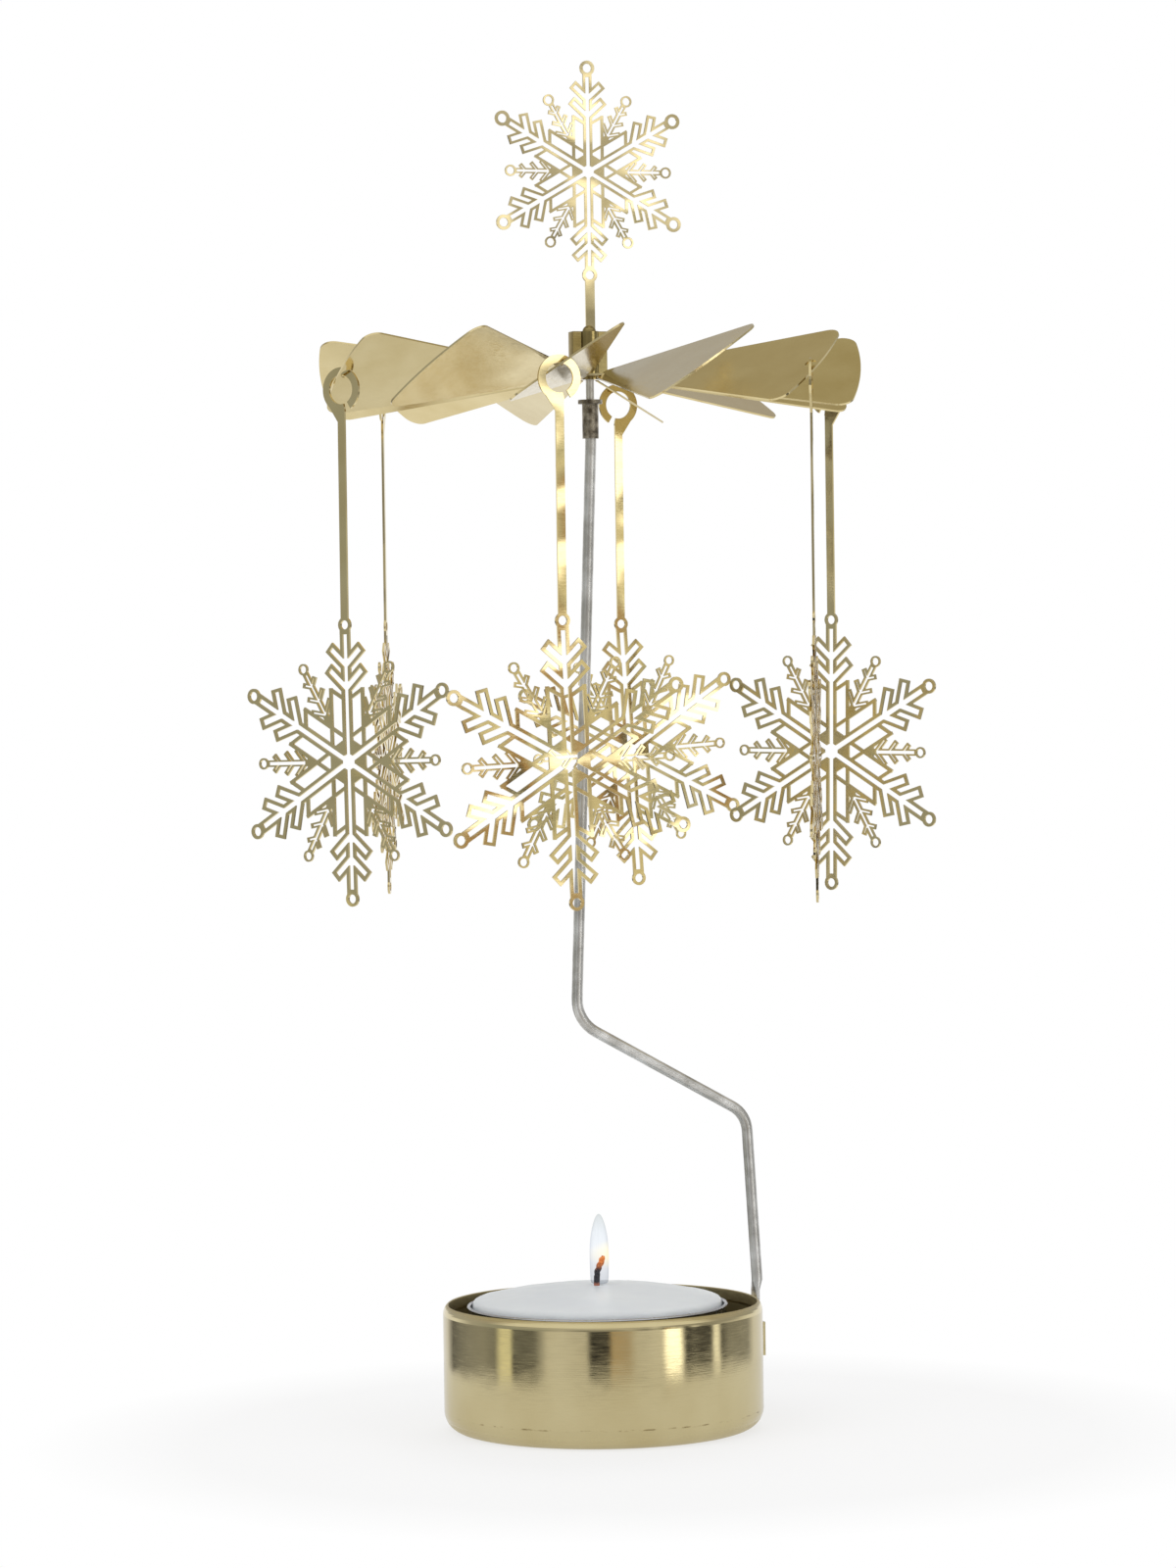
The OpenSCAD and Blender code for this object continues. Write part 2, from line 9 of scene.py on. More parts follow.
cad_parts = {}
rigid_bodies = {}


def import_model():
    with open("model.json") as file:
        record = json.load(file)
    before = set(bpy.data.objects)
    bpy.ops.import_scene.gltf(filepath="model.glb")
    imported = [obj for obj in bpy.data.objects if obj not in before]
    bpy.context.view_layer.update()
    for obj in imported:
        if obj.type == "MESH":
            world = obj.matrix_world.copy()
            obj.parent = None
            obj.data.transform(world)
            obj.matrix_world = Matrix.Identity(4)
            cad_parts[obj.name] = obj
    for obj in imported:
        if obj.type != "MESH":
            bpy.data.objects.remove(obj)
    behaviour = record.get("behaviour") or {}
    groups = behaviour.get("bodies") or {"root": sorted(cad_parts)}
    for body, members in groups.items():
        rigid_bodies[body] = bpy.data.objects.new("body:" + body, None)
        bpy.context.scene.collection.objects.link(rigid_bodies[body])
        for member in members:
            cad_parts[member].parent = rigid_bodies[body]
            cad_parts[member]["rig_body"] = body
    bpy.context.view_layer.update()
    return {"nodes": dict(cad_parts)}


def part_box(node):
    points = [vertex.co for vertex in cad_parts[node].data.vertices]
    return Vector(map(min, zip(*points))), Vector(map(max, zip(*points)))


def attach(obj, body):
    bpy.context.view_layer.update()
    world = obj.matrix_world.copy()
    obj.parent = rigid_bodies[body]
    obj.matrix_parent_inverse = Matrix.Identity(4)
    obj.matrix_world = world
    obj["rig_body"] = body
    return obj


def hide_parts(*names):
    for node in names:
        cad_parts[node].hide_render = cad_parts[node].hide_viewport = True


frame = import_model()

MM = 0.001


# ---------------------------------------------------------------- small helpers

def smoothstep(t):
    t = min(max(t, 0.0), 1.0)
    return t * t * (3 - 2 * t)


def arc(centre, radius, start, end, count):
    """Points [r, z] on a circular arc, with the angles in degrees."""
    angles = [math.radians(start + (end - start) * i / count) for i in range(count + 1)]
    return [(centre[0] + radius * math.cos(a), centre[1] + radius * math.sin(a)) for a in angles]


def mesh_object(name, verts, faces):
    mesh = bpy.data.meshes.new(name)
    mesh.from_pydata([Vector(v) for v in verts], [], faces)
    mesh.validate()
    mesh.update()
    piece = bpy.data.objects.new(name, mesh)
    bpy.context.scene.collection.objects.link(piece)
    return piece


def shade_smooth(piece, sharp_angle=35):
    mesh = piece.data
    for polygon in mesh.polygons:
        polygon.use_smooth = True
    mesh.set_sharp_from_angle(angle=math.radians(sharp_angle))


def apply_modifiers(piece):
    graph = bpy.context.evaluated_depsgraph_get()
    mesh = bpy.data.meshes.new_from_object(piece.evaluated_get(graph))
    piece.modifiers.clear()
    piece.data = mesh


def lathe(name, profile, segments, centre=(0, 0), wobble=None):
    """Turns a list of (r, z) points round the vertical axis through centre. Ends on the axis are closed."""
    verts, rings = [], []
    for r, z in profile:
        if r < 1e-7:
            rings.append([len(verts)])
            verts.append((centre[0], centre[1], z))
            continue
        first = len(verts)
        for k in range(segments):
            a = 2 * math.pi * k / segments
            dr = wobble(a, z) if wobble else 0
            verts.append((centre[0] + (r + dr) * math.cos(a), centre[1] + (r + dr) * math.sin(a), z))
        rings.append(list(range(first, first + segments)))
    faces = []
    for low, high in zip(rings, rings[1:]):
        for k in range(segments):
            n = (k + 1) % segments
            if len(low) == 1:
                faces.append((low[0], high[n], high[k]))
            elif len(high) == 1:
                faces.append((low[k], low[n], high[0]))
            else:
                faces.append((low[k], low[n], high[n], high[k]))
    return mesh_object(name, verts, faces)


def finish_piece(piece, material, body, slot, *nodes):
    piece.data.materials.clear()
    piece.data.materials.append(material)
    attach(piece, body)
    if nodes:
        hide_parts(*nodes)
    return piece


def polished_copy(node, name, bevel=0.0, sharp_angle=35):
    """A welded, smooth-shaded copy of a CAD node, with its sharp edges broken by a small bevel."""
    source = frame["nodes"][node]
    piece = bpy.data.objects.new(name, source.data.copy())
    bpy.context.scene.collection.objects.link(piece)
    mesh = bmesh.new()
    mesh.from_mesh(piece.data)
    bmesh.ops.remove_doubles(mesh, verts=mesh.verts, dist=1e-6)
    mesh.to_mesh(piece.data)
    mesh.free()
    if piece.data.has_custom_normals:
        piece.data.attributes.remove(piece.data.attributes["custom_normal"])
    if bevel:
        modifier = piece.modifiers.new("edges", "BEVEL")
        modifier.width = bevel
        modifier.segments = 1
        modifier.limit_method = "ANGLE"
        modifier.angle_limit = math.radians(40)
        apply_modifiers(piece)
    shade_smooth(piece, sharp_angle)
    return piece


# ---------------------------------------------------------------- materials

class Nodes:
    """A short way to write a node tree."""

    def __init__(self, owner):
        if isinstance(owner, str):
            self.material = owner = bpy.data.materials.new(owner)
            owner.use_nodes = True
            self.shader = owner.node_tree.nodes["Principled BSDF"]
            self.output = owner.node_tree.nodes["Material Output"]
        self.tree = owner.node_tree

    def add(self, kind, inputs=None, **settings):
        node = self.tree.nodes.new(kind)
        for key, value in settings.items():
            setattr(node, key, value)
        for key, value in (inputs or {}).items():
            self.set(node.inputs[key], value)
        return node

    def set(self, socket, value):
        if isinstance(value, bpy.types.NodeSocket):
            self.tree.links.new(value, socket)
        else:
            socket.default_value = value

    def math(self, operation, a, b=0.0, clamp=False):
        node = self.add("ShaderNodeMath", operation=operation, use_clamp=clamp)
        self.set(node.inputs[0], a)
        self.set(node.inputs[1], b)
        return node.outputs[0]

    def mix(self, factor, a, b):
        node = self.add("ShaderNodeMix", data_type="RGBA")
        self.set(node.inputs["Factor"], factor)
        self.set(node.inputs["A"], a)
        self.set(node.inputs["B"], b)
        return node.outputs["Result"]

    def ramp(self, factor, stops):
        node = self.add("ShaderNodeValToRGB", {"Fac": factor})
        ends = node.color_ramp.elements
        ends[0].position, ends[0].color = stops[0]
        ends[1].position, ends[1].color = stops[-1]
        for place, colour in stops[1:-1]:
            ends.new(place).color = colour
        return node.outputs["Color"]

    def seen_rays(self, glossy):
        """1 for rays that show the surroundings as they are, and 0 for those that only light the object."""
        path = self.add("ShaderNodeLightPath").outputs
        seen = self.math("MAXIMUM", path["Is Camera Ray"], path["Is Transmission Ray"])
        return self.math("MAXIMUM", seen, path["Is Glossy Ray"]) if glossy else seen

    def range(self, value, low, high, to_low, to_high):
        node = self.add("ShaderNodeMapRange", {"Value": value, "From Min": low, "From Max": high,
                                               "To Min": to_low, "To Max": to_high})
        return node.outputs["Result"]

    def position(self):
        return self.add("ShaderNodeTexCoord").outputs["Object"]

    def scaled(self, vector, scale):
        node = self.add("ShaderNodeMapping", {"Vector": vector, "Scale": scale})
        return node.outputs["Vector"]

    def around(self, centre_x=0.0):
        """Coordinates (way round the axis, height) in metres at a radius of 20 mm."""
        split = self.add("ShaderNodeSeparateXYZ", {"Vector": self.position()})
        x = self.math("SUBTRACT", split.outputs["X"], centre_x)
        angle = self.math("ARCTAN2", split.outputs["Y"], x)
        joined = self.add("ShaderNodeCombineXYZ", {"X": self.math("MULTIPLY", angle, 0.02),
                                                   "Z": split.outputs["Z"]})
        return joined.outputs["Vector"], split.outputs["Z"]

    def noise(self, vector, scale, detail=3.0, roughness=0.5):
        return self.add("ShaderNodeTexNoise", {"Vector": vector, "Scale": scale, "Detail": detail,
                                               "Roughness": roughness}).outputs["Fac"]

    def bump(self, height, distance, strength=1.0, normal=None):
        node = self.add("ShaderNodeBump", {"Height": height, "Distance": distance, "Strength": strength})
        if normal is not None:
            self.set(node.inputs["Normal"], normal)
        return node.outputs["Normal"]

    def shade(self, **inputs):
        for key, value in inputs.items():
            self.set(self.shader.inputs[key.replace("_", " ")], value)
        return self.material


def rgb(r, g, b):
    """An sRGB colour given in 0 to 255, as the linear colour that shaders take."""
    def linear(c):
        c /= 255
        return c / 12.92 if c <= 0.04045 else ((c + 0.055) / 1.055) ** 2.4
    return (linear(r), linear(g), linear(b), 1.0)


def grey(value):
    return (value, value, value, 1.0)


def sheet_brass(name, light, deep, wave=0.25, wave_scale=55, rough=(0.1, 0.2)):
    """Bright rolled brass: shallow waves, soft tarnish and fine rolling lines.

    wave is the waves' height in millimetres, and wave_scale is about how many there are in a metre.
    """
    n = Nodes(name)
    where = n.position()
    rolling = (900, 900, 6000)
    line_height = 0.0008 * MM
    tarnish = n.noise(where, 140, 4)
    lines = n.noise(n.scaled(where, rolling), 1, 2)
    waves = n.noise(where, wave_scale, 1)
    normal = n.bump(waves, wave * MM)
    normal = n.bump(lines, line_height, 0.5, normal)
    return n.shade(Base_Color=n.mix(n.range(tarnish, 0.35, 0.7, 0, 1), light, deep), Metallic=1.0,
                   Roughness=n.range(lines, 0.3, 0.7, *rough), Normal=normal)


def cup_brass():
    """Turned and polished brass: fine lines around it, a scuffed line low on the wall and a dull inside."""
    n = Nodes("cup_brass")
    around, height = n.around()
    lines = n.noise(n.scaled(around, (120, 1, 9000)), 1, 3, 0.6)
    streaks = n.noise(n.scaled(around, (500, 1, 3500)), 1, 2)
    tone = n.noise(n.scaled(around, (90, 1, 60)), 1, 3)

    scuff_height, scuff_half_width = 3.0 * MM, 0.16 * MM
    scuff_place = n.math("ABSOLUTE", n.math("SUBTRACT", height, scuff_height))
    scuff_patch = n.range(n.noise(n.scaled(around, (700, 1, 1500)), 1, 3), 0.5, 0.62, 0, 1)
    scuff = n.math("MULTIPLY", n.range(scuff_place, 0.0, scuff_half_width, 0.85, 0), scuff_patch, clamp=True)

    split = n.add("ShaderNodeSeparateXYZ", {"Vector": n.position()}).outputs
    reach = n.math("ADD", n.math("POWER", split["X"], 2), n.math("POWER", split["Y"], 2))
    dull_r, bright_r = CUP_RADIUS - 0.45 * MM, CUP_RADIUS - 0.2 * MM
    inside = n.range(reach, dull_r ** 2, bright_r ** 2, 0.3, 0)

    colour = n.mix(n.range(tone, 0.3, 0.7, 0, 1), rgb(214, 201, 158), rgb(203, 188, 142))
    colour = n.mix(scuff, colour, rgb(120, 98, 52))
    rough = n.math("ADD", n.range(streaks, 0.3, 0.7, 0.05, 0.13), n.math("MULTIPLY", scuff, 0.3))
    wave_height, line_height = 0.05 * MM, 0.0035 * MM
    normal = n.bump(n.noise(around, 130, 2), wave_height)
    normal = n.bump(lines, line_height, 1.0, normal)
    return n.shade(Base_Color=colour, Metallic=1.0, Roughness=n.math("ADD", rough, inside), Normal=normal)


def satin_steel(name, light, dark, rough=(0.26, 0.4), grain=(3000, 3000, 250), depth=0.006, patches=300):
    """Drawn steel with fine grain, depth millimetres deep, and patches of a darker tone."""
    n = Nodes(name)
    where = n.position()
    grains = n.noise(n.scaled(where, grain), 1, 3, 0.6)
    cloud = n.noise(where, patches, 3)
    colour = n.mix(n.range(cloud, 0.35, 0.65, 0, 1), light, dark)
    return n.shade(Base_Color=colour, Metallic=1.0, Roughness=n.range(grains, 0.3, 0.7, *rough),
                   Normal=n.bump(grains, depth * MM))


def foil_aluminium():
    """Thin pressed aluminium with upright flutes."""
    n = Nodes("foil_aluminium")
    around = n.around(TEALIGHT_CENTRE.x)[0]
    flutes = n.noise(n.scaled(around, (900, 1, 60)), 1, 2)
    return n.shade(Base_Color=n.mix(n.noise(around, 400), rgb(206, 207, 210), rgb(184, 185, 190)),
                   Metallic=1.0, Roughness=n.range(flutes, 0.3, 0.7, 0.16, 0.3),
                   Normal=n.bump(flutes, 0.05 * MM))


def paraffin():
    """Slightly see-through white wax."""
    n = Nodes("paraffin")
    where = n.position()
    cloud = n.noise(where, 90, 4)
    pits = n.noise(where, 900, 3)
    n.shader.inputs["Subsurface Weight"].default_value = 0.35
    n.shader.inputs["Subsurface Radius"].default_value = (1.0, 0.95, 0.9)
    n.shader.inputs["Subsurface Scale"].default_value = 0.004
    normal = n.bump(pits, 0.01 * MM, 1.0, n.bump(cloud, 0.25 * MM))
    return n.shade(Base_Color=n.mix(n.range(cloud, 0.35, 0.65, 0, 1), rgb(221, 225, 227), rgb(214, 218, 222)),
                   Roughness=n.range(cloud, 0.3, 0.7, 0.28, 0.42), Normal=normal)


def burning_wick():
    """Charred cotton cord that glows towards its tip, with a painted pinkish reflection on it just above the
    wax.
    """
    n = Nodes("burning_wick")
    where = n.position()
    height = n.add("ShaderNodeSeparateXYZ", {"Vector": where}).outputs["Z"]
    ash = n.noise(where, 3500, 3)
    ragged = n.math("ADD", height, n.math("MULTIPLY", n.math("SUBTRACT", ash, 0.5), 0.8 * MM))
    glow = n.range(ragged, WICK_TIP.z - 2.5 * MM, WICK_TIP.z - 1.3 * MM, 0, 1)
    # painted reflection: a pinkish band of warm light on the cord just above the wax, put into its colour
    base_painted_reflection = n.range(ragged, WAX_TOP + 0.35 * MM, WAX_TOP + 0.05 * MM, 0, 1)
    colour = n.mix(base_painted_reflection, n.mix(ash, rgb(34, 32, 36), rgb(66, 64, 68)), rgb(176, 112, 88))
    embers = n.mix(n.range(ash, 0.35, 0.65, 0, 1), rgb(170, 74, 20), rgb(240, 150, 84))
    return n.shade(Base_Color=n.mix(glow, colour, rgb(110, 46, 16)), Roughness=0.85, Emission_Color=embers,
                   Emission_Strength=n.math("MULTIPLY", glow, 0.75), Normal=n.bump(ash, 0.06 * MM))


def flame_gas():
    """Clear, faintly blue gas that is denser at its edges, with a yellow glow round the wick's tip."""
    n = Nodes("flame_gas")
    where = n.position()
    height = n.add("ShaderNodeSeparateXYZ", {"Vector": where}).outputs["Z"]
    rise = n.range(height, WAX_TOP, FLAME_TOP, 0, 1)
    streaks = n.noise(n.scaled(where, (4500, 4500, 150)), 1, 2)
    heart = n.ramp(rise, [(0.0, rgb(214, 218, 224)), (0.28, rgb(232, 234, 238)), (0.5, rgb(246, 250, 255)),
                          (0.75, rgb(240, 245, 250)), (1.0, rgb(222, 227, 227))])
    rim = n.ramp(rise, [(0.0, rgb(196, 200, 206)), (0.5, rgb(214, 218, 228)), (1.0, rgb(206, 211, 210))])
    facing = n.add("ShaderNodeLayerWeight", {"Blend": 0.35}).outputs["Facing"]
    frayed = n.range(streaks, 0.35, 0.65, -0.15, 0.15)
    edge = n.math("ADD", n.range(facing, 0.1, 0.75, 0, 1), frayed, clamp=True)
    glow_centre = WICK_TIP - Vector((0.3, 0.4, 0.2)) * MM
    near = n.add("ShaderNodeVectorMath", {0: where, 1: glow_centre}, operation="DISTANCE").outputs["Value"]
    glow = n.range(near, 0.5 * MM, 2.3 * MM, 0.4, 0)
    n.shader.inputs["Transmission Weight"].default_value = 1.0
    n.shader.inputs["IOR"].default_value = 1.0
    n.shader.inputs["Specular IOR Level"].default_value = 0.0
    colour = n.mix(n.math("MULTIPLY", glow, 1.2), n.mix(edge, heart, rim), rgb(250, 240, 170))
    return n.shade(Base_Color=colour, Roughness=0.0, Emission_Color=rgb(255, 214, 120),
                   Emission_Strength=n.math("MULTIPLY", glow, 0.35))


# ---------------------------------------------------------------- pieces

def bevelled_sheet(node, material, bevel=0.02 * MM, sharp_angle=35):
    """A CAD sheet part with its edges broken. A small sharp_angle keeps a plane sheet's faces plane."""
    source = frame["nodes"][node]
    piece = polished_copy(node, node + "_sheet", bevel, sharp_angle)
    return finish_piece(piece, material, source["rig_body"], source.material_slots[0].name, node)


def make_rod(material):
    rod = polished_copy("stand_rod", "bent_rod")
    return finish_piece(rod, material, "stand", "rod_steel", "stand_rod")


def make_wax(material):
    """The wax: a round shoulder above the shell, a soft dome and a small dip round the wick."""
    low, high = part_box("wax")
    shell_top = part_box("tealight_shell")[1].z
    r = (high.x - low.x) / 2
    foot_bevel, inset, shoulder = 0.7 * MM, 0.25 * MM, 0.85 * MM
    edge_z, edge_r = shell_top + 0.92 * MM, r - inset
    profile = [(0, low.z), (r - foot_bevel, low.z), (r, low.z + foot_bevel), (r, shell_top - 1.2 * MM),
               (edge_r, shell_top - 0.7 * MM), (edge_r, shell_top)]
    profile += arc((edge_r - shoulder, edge_z - shoulder), shoulder, 0, 78, 8)
    steps, dome_power = 44, 2.2
    dip_depth, dip_width = 0.35 * MM, 0.05
    for i in range(1, steps + 1):
        out = 1 - i / steps
        dip = dip_depth * math.exp(-(out / dip_width) ** 2)
        dome = (high.z - edge_z) * (1 - out ** dome_power)
        profile.append(((edge_r - shoulder) * out, edge_z + dome - dip))
    wax = lathe("wax_fill", profile, 160, TEALIGHT_CENTRE)
    swell, swells_per_mm = 0.07 * MM, 0.35
    for vertex in wax.data.vertices:
        if vertex.co.z > edge_z - shoulder:
            at = vertex.co / MM
            vertex.co.z += swell * (noise.noise(Vector((at.x, at.y, 3)) * swells_per_mm) - 0.3)
    shade_smooth(wax, 60)
    return finish_piece(wax, material, "tealight", "wax", "wax")


def make_shell(material):
    """The thin aluminium cup round the wax, with its fluted wall and rolled lip."""
    low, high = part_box("tealight_shell")
    wall, lip, bevel = 0.22 * MM, 0.26 * MM, 0.6 * MM
    r = (high.x - low.x) / 2 - 0.15 * MM
    lip_centre = (r - wall / 2 + 0.1 * MM, high.z - lip)
    profile = [(0, low.z), (r - bevel, low.z), (r, low.z + bevel), (r, high.z - 2 * lip)]
    profile += arc(lip_centre, lip, -60, 215, 14)
    profile += [(r - wall, high.z - 3 * lip), (r - wall, low.z + bevel + wall),
                (r - bevel - wall, low.z + wall), (0, low.z + wall)]
    flutes, flute_depth = 60, 0.06 * MM
    dents, dent_depth = 31, 0.012 * MM

    def fluted(a, z):
        """Shallow flutes that fade towards the lip and the foot, and a slight unevenness all over."""
        depth = smoothstep((high.z - z) / (2 * MM)) * smoothstep((z - low.z) / MM)
        return (-flute_depth * depth * (0.5 + 0.5 * math.cos(flutes * a))
                - dent_depth * (1 + math.sin(dents * a)))

    shell = lathe("tealight_foil", profile, 360, TEALIGHT_CENTRE, fluted)
    shade_smooth(shell, 50)
    return finish_piece(shell, material, "tealight", "shell_aluminium", "tealight_shell")


def tube(name, points, radius, sides, strands, twist):
    """A cord along points, with twisted lobes. radius is a function of the share of the way along."""
    lobe_depth = 0.14
    verts, faces = [], []
    side = Vector((0, 1, 0))
    run = 0.0
    for i, point in enumerate(points):
        ahead = points[min(i + 1, len(points) - 1)] - points[max(i - 1, 0)]
        ahead.normalize()
        across = side.cross(ahead).normalized()
        if i:
            run += (point - points[i - 1]).length
        r = radius(i / (len(points) - 1))
        for k in range(sides):
            a = 2 * math.pi * k / sides
            lobe = 1 + lobe_depth * math.cos(strands * (a - twist * run))
            verts.append(point + (across * math.cos(a) + side * math.sin(a)) * r * lobe)
    for i in range(len(points) - 1):
        for k in range(sides):
            n = (k + 1) % sides
            faces.append((i * sides + k, i * sides + n, (i + 1) * sides + n, (i + 1) * sides + k))
    faces.append(tuple(range(sides - 1, -1, -1)))
    faces.append(tuple(range((len(points) - 1) * sides, len(points) * sides)))
    return mesh_object(name, verts, faces)


def make_wick(material):
    """A twisted cord that bends over at its top."""
    cord_radius, lean, tip_room = 0.42 * MM, 0.95 * MM, 0.4 * MM
    root = Vector((TEALIGHT_CENTRE.x, 0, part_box("wick")[0].z))
    bend = Vector((TEALIGHT_CENTRE.x, 0, WAX_TOP + 1.2 * MM))
    rise = WICK_TIP.z - tip_room - bend.z
    points = [root.lerp(bend, i / 20) for i in range(20)]
    for i in range(26):
        t = i / 25
        points.append(bend + Vector((lean * smoothstep(t) * (0.6 + 0.4 * t), 0, rise * t)))
    wick = tube("wick_cord", points, lambda t: cord_radius * (1 - 0.45 * smoothstep((t - 0.9) / 0.1)), 24,
                strands=3, twist=2200)
    shade_smooth(wick, 60)
    return finish_piece(wick, material, "tealight", "wick", "wick")


def make_flame(material):
    """The burning flame, a slim closed drop round the wick."""
    foot = WAX_TOP + 0.1 * MM
    height = FLAME_TOP - foot
    # share of the height, and radius there in millimetres
    widths = [(0.0, 0.0), (0.0, 1.3), (0.08, 1.36), (0.2, 1.4), (0.36, 1.44), (0.5, 1.42), (0.62, 1.34),
              (0.74, 1.16), (0.84, 0.92), (0.92, 0.64), (0.975, 0.36), (1.0, 0.0)]
    profile = [(r * MM, foot + height * t) for t, r in widths]
    towards_tip = 0.38 * MM
    flame = lathe("flame", profile, 24, (TEALIGHT_CENTRE.x + towards_tip, 0))
    smooth = flame.modifiers.new("smooth", "SUBSURF")
    smooth.levels = smooth.render_levels = 2
    apply_modifiers(flame)
    shade_smooth(flame, 180)
    return finish_piece(flame, material, "tealight", "wick")


# ---------------------------------------------------------------- studio

def make_floor():
    """A round plain sheet under the object. It fades into the white surroundings at its edge."""
    rings, segments = 24, 96
    verts, faces = [(0, 0, 0)], []
    for i in range(1, rings + 1):
        r = FLOOR_RADIUS * i / rings
        verts += [(r * math.cos(2 * math.pi * k / segments), r * math.sin(2 * math.pi * k / segments), 0)
                  for k in range(segments)]
    for k in range(segments):
        n = (k + 1) % segments
        faces.append((0, 1 + k, 1 + n))
        for i in range(rings - 1):
            a, b = 1 + i * segments, 1 + (i + 1) * segments
            faces.append((a + k, b + k, b + n, a + n))
    floor = mesh_object("floor", verts, faces)
    floor.location = FLOOR_CENTRE
    n = Nodes("floor_paper")
    where = n.position()
    grain = n.noise(where, 2500, 2)
    distance = n.add("ShaderNodeVectorMath", {0: where}, operation="LENGTH").outputs["Value"]
    fade = n.range(distance, FLOOR_RADIUS * FADE_FROM, FLOOR_RADIUS * FADE_TO, FLOOR_WHITE, 1.0)
    seen = n.seen_rays(glossy=True)
    glossy = n.add("ShaderNodeLightPath").outputs["Is Glossy Ray"]
    glow = n.add("ShaderNodeEmission", {"Color": (1, 1, 1, 1),
                                        "Strength": n.range(glossy, 0, 1, 1.0, FLOOR_IN_METAL)}).outputs[0]
    n.shade(Base_Color=n.mix(grain, rgb(236, 236, 236), rgb(230, 230, 231)), Roughness=0.9,
            Specular_IOR_Level=0.1)
    blend = n.add("ShaderNodeMixShader", {0: n.math("MULTIPLY", seen, fade), 1: n.shader.outputs[0], 2: glow})
    n.set(n.output.inputs["Surface"], blend.outputs[0])
    floor.data.materials.append(n.material)


def make_world():
    """White for the camera. Polished metal sees a plain room: walls with a bright window, and a ceiling."""
    world = bpy.data.worlds.new("studio")
    world.use_nodes = True
    bpy.context.scene.world = world
    n = Nodes(world)
    way = n.add("ShaderNodeTexCoord").outputs["Generated"]
    split = n.add("ShaderNodeSeparateXYZ", {"Vector": way})
    turn = n.math("ARCTAN2", split.outputs["X"], n.math("MULTIPLY", split.outputs["Y"], -1.0))
    share = n.range(turn, -math.pi, math.pi, 0, 1)
    height = split.outputs["Z"]

    def band(stops):
        return n.ramp(share, [((angle + 180) / 360, colour) for angle, colour in stops])

    def stacked(edge, below, above):
        return n.mix(n.range(height, *edge, 0, 1), below, above)

    behind = n.ramp(n.range(height, 0, 1, 0, 1), CEILING_BEHIND)
    ceiling = n.mix(n.range(split.outputs["Y"], -0.2, 0.1, 0, 1), CEILING_IN_FRONT, behind)
    room = stacked(WINDOW_FOOT, band(WALL_BAND), band(WINDOW_BAND))
    room = stacked(WINDOW_TOP, room, band(UPPER_BAND))
    room = stacked(WALL_FOOT, band(LOW_BAND), room)
    room = stacked(WALL_TOP, room, ceiling)
    room = stacked(LOW_FOOT, grey(1.0), room)
    path = n.add("ShaderNodeLightPath").outputs
    soft = n.mix(path["Is Glossy Ray"], (AMBIENT, AMBIENT, AMBIENT, 1), room)
    colour = n.mix(n.seen_rays(glossy=False), soft, (1, 1, 1, 1))
    background = n.tree.nodes["Background"]
    n.set(background.inputs["Color"], colour)
    background.inputs["Strength"].default_value = 1.0


def area_light(name, place, size, power):
    """A lamp aimed at the middle of the object. It lights, and the polished metal doesn't mirror it."""
    data = bpy.data.lights.new(name, "AREA")
    data.shape = "RECTANGLE"
    data.size, data.size_y = size
    data.energy = power
    lamp = bpy.data.objects.new(name, data)
    lamp.location = place
    lamp.rotation_mode = "QUATERNION"
    lamp.rotation_quaternion = (LAMP_TARGET - Vector(place)).to_track_quat("-Z", "Y")
    lamp.visible_glossy = False
    bpy.context.scene.collection.objects.link(lamp)


def make_camera():
    data = bpy.data.cameras.new("camera")
    data.sensor_width = SENSOR
    data.lens = LENS
    data.clip_start, data.clip_end = 0.01, 100
    camera = bpy.data.objects.new("camera", data)
    bpy.context.scene.collection.objects.link(camera)
    place = Matrix.Translation(CAMERA_PLACE)
    aim = Matrix.Rotation(math.radians(90 - CAMERA_DOWN), 4, "X")
    roll = Matrix.Rotation(math.radians(CAMERA_ROLL), 4, "Z")
    camera.matrix_world = place @ aim @ roll
    bpy.context.scene.camera = camera


# ---------------------------------------------------------------- the scene

# sensor width and focal length in millimetres, turns in degrees
SENSOR = 36
LENS = 116.4
CAMERA_PLACE = Vector((-1.1, -750, 113.5)) * MM
CAMERA_DOWN = 1.37
CAMERA_ROLL = -0.8
LAMP_TARGET = Vector((0, 0, 80)) * MM

FLOOR_RADIUS = 92 * MM
FLOOR_CENTRE = Vector((6, -8, 0)) * MM
# the floor turns white between these shares of its radius, and is this white within them
FADE_FROM, FADE_TO = 0.72, 0.99
FLOOR_WHITE = 0.7
# how bright metal sees that white, and how bright the room's diffuse light is
FLOOR_IN_METAL = 0.8
AMBIENT = 0.62

# where one band of the room fades into the next, as the height of a direction: the sine of its elevation
LOW_FOOT = (-0.45, -0.3)
WALL_FOOT = (-0.118, -0.1)
WINDOW_FOOT = (0.03, 0.045)
WINDOW_TOP = (0.1, 0.13)
WALL_TOP = (0.22, 0.45)

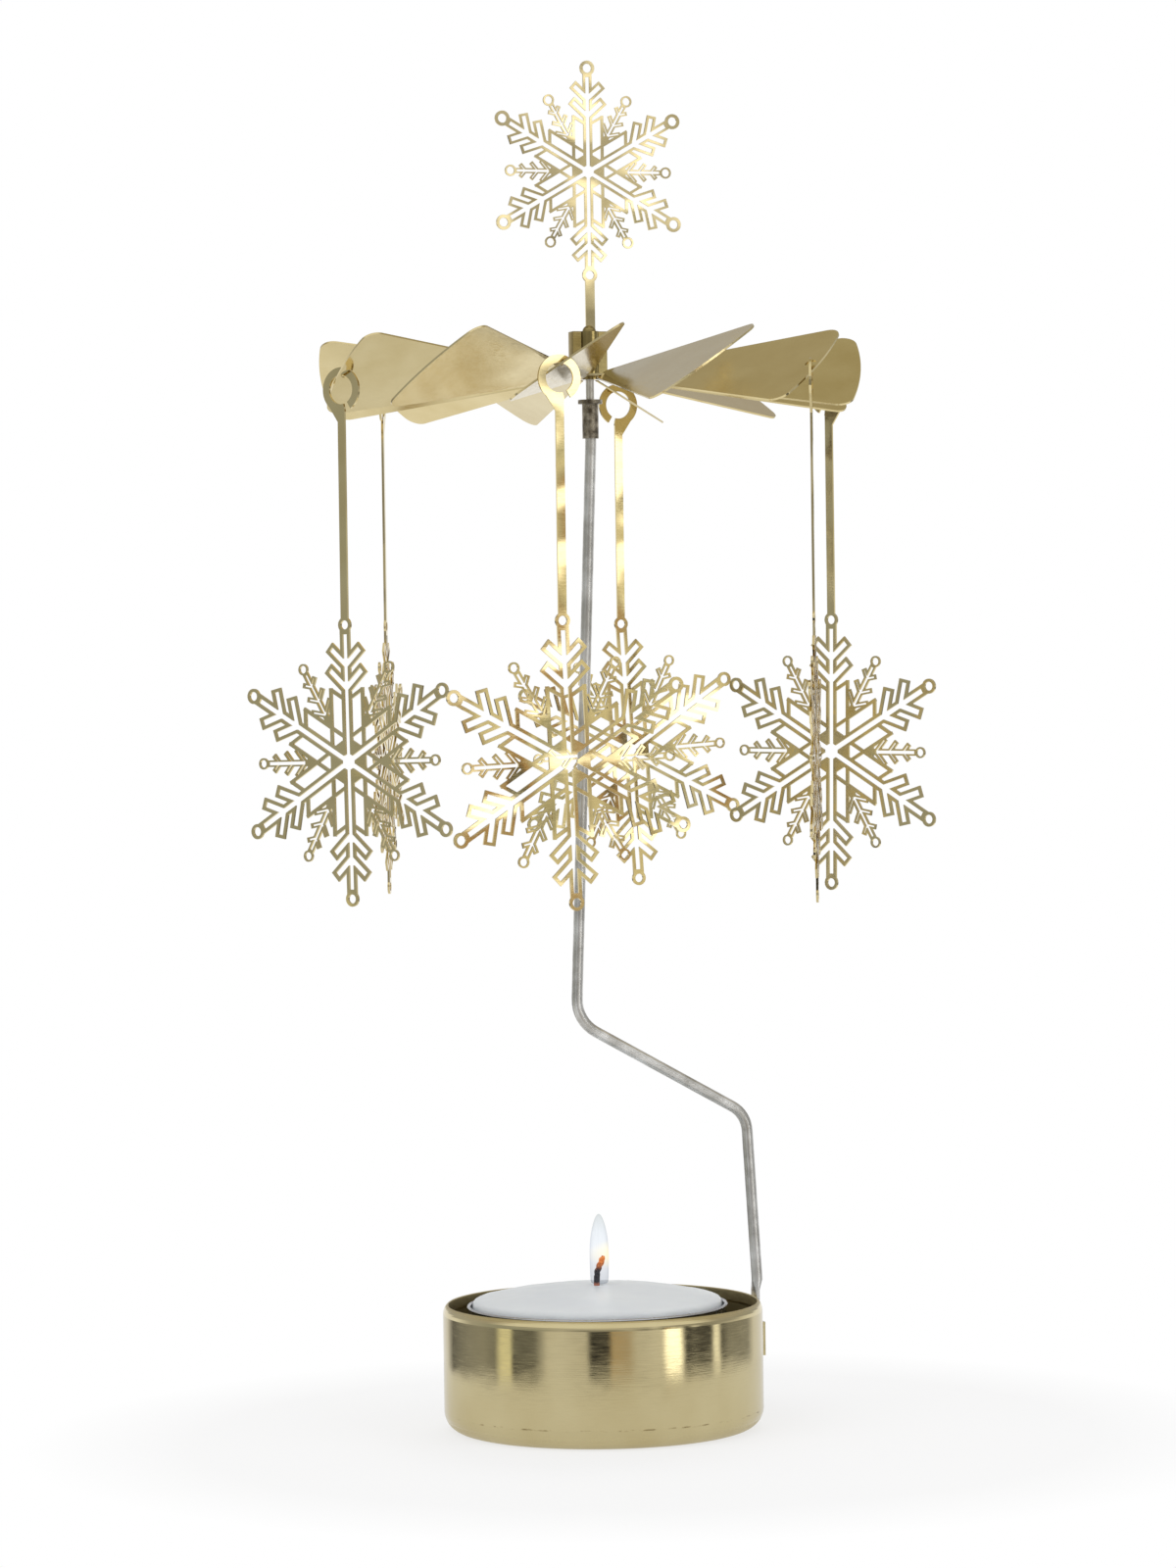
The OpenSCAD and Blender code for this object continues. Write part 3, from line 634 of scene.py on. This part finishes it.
# directions from the front, in degrees to the right, and the light that comes from there
LOW_BAND = [(-180, grey(0.9)), (-152, grey(0.8)), (-138, grey(0.16)), (-112, grey(0.3)), (-96, grey(0.34)),
            (-84, grey(0.25)), (-79, (1.0, 0.98, 0.75, 1)), (-71, (1.0, 0.98, 0.75, 1)), (-68, grey(0.14)),
            (-50, grey(0.17)), (-40, grey(0.8)), (-12, grey(0.75)), (-9, grey(0.03)), (4, grey(0.04)),
            (6, (0.62, 0.5, 0.36, 1)), (18, (0.55, 0.46, 0.36, 1)), (24, grey(0.75)), (43, grey(0.85)),
            (47, grey(2.5)), (56, grey(2.5)), (61, grey(0.07)), (84, grey(0.08)), (87, grey(1.3)),
            (91, grey(1.3)), (94, grey(0.1)), (102, grey(0.28)), (128, grey(0.33)), (138, grey(0.8)),
            (180, grey(0.9))]
WALL_BAND = [(-180, grey(1.0)), (-130, grey(0.95)), (-108, grey(0.5)), (-90, (0.42, 0.44, 0.44, 1)),
             (-48, (0.4, 0.42, 0.42, 1)), (-30, grey(0.6)), (-14, grey(0.3)), (6, grey(0.35)),
             (20, grey(0.6)), (30, grey(0.3)), (36, grey(0.5)), (41, (0.45, 0.47, 0.42, 1)), (44, grey(0.07)),
             (46.5, (0.6, 0.4, 0.22, 1)), (49, (0.5, 0.48, 0.4, 1)), (51.5, (1.05, 1.0, 0.8, 1)),
             (54, (0.34, 0.36, 0.3, 1)), (57, grey(0.9)), (60, grey(0.3)), (63, grey(0.08)), (68, grey(0.9)),
             (76, grey(0.3)), (96, grey(0.5)), (130, grey(0.95)), (180, grey(1.0))]
WINDOW_BAND = [(-180, grey(1.0)), (-130, grey(0.95)), (-108, grey(0.5)), (-90, (0.42, 0.44, 0.44, 1)),
               (-48, (0.42, 0.43, 0.43, 1)), (-25, grey(0.5)), (10, grey(0.42)), (27, grey(0.5)),
               (34, grey(0.62)), (40, grey(2.5)), (62, grey(2.5)), (68, grey(0.45)), (96, grey(0.4)),
               (130, grey(0.95)), (180, grey(1.0))]
UPPER_BAND = [(-180, grey(0.5)), (-108, grey(0.5)), (-90, (0.42, 0.44, 0.44, 1)), (20, grey(0.5)),
              (32, grey(0.42)), (38, grey(0.75)), (44, grey(0.4)), (96, grey(0.42)), (180, grey(0.5))]

# the ceiling, by the height of a direction
CEILING_IN_FRONT = grey(0.95)
CEILING_BEHIND = [(0.2, grey(0.5)), (0.55, (0.5, 0.47, 0.44, 1)), (0.7, (0.47, 0.43, 0.32, 1)),
                  (0.92, (0.47, 0.43, 0.3, 1)), (1.0, grey(0.8))]

CUP_RADIUS = -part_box("cup")[0].x
wax_low, wax_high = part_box("wax")
TEALIGHT_CENTRE = Vector(((wax_low.x + wax_high.x) / 2, (wax_low.y + wax_high.y) / 2))
WAX_TOP = wax_high.z
WICK_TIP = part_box("wick")[1]
FLAME_TOP = WICK_TIP.z + 5.9 * MM

brass_light, brass_deep = rgb(221, 205, 158), rgb(211, 193, 142)
steel = satin_steel("rod_steel", rgb(232, 231, 228), rgb(190, 188, 182))
sleeve = satin_steel("sleeve_steel", rgb(176, 168, 152), rgb(92, 84, 72), rough=(0.2, 0.45),
                     grain=(2500, 2500, 2500), depth=0.05, patches=900)
wheel_sheet = sheet_brass("wheel_brass", brass_light, brass_deep, 0.15, 40)
clip_sheet = sheet_brass("clip_brass", rgb(170, 154, 104), rgb(128, 110, 64), 0.1)
flake_sheet = sheet_brass("snowflake_brass", brass_light, brass_deep, 0.95, 75, (0.05, 0.12))
foil = foil_aluminium()

for name, material in (("cup", cup_brass()), ("needle_sleeve", sleeve), ("needle", steel),
                       ("wick_sustainer", foil), ("bearing_cap", clip_sheet)):
    frame["nodes"][name].material_slots[0].material = material

make_rod(steel)
make_wax(paraffin())
make_shell(foil)
make_wick(burning_wick())
make_flame(flame_gas())
bevelled_sheet("wheel", wheel_sheet)
bevelled_sheet("ornament_clip", clip_sheet, 0.05 * MM)
bevelled_sheet("top_snowflake", flake_sheet, sharp_angle=5)
for number in range(1, 7):
    bevelled_sheet(f"snowflake_hanger_{number}", flake_sheet, sharp_angle=5)

make_floor()
make_world()
area_light("key", (-0.7, -0.7, 1.0), (1.1, 1.1), 6.0)
area_light("fill", (0.9, -0.5, 0.6), (0.9, 1.0), 3.0)
area_light("back", (0.2, 0.9, 0.9), (0.8, 0.5), 3.0)
make_camera()

scene = bpy.context.scene
scene.view_settings.view_transform = "Standard"

bpy.context.view_layer.update()
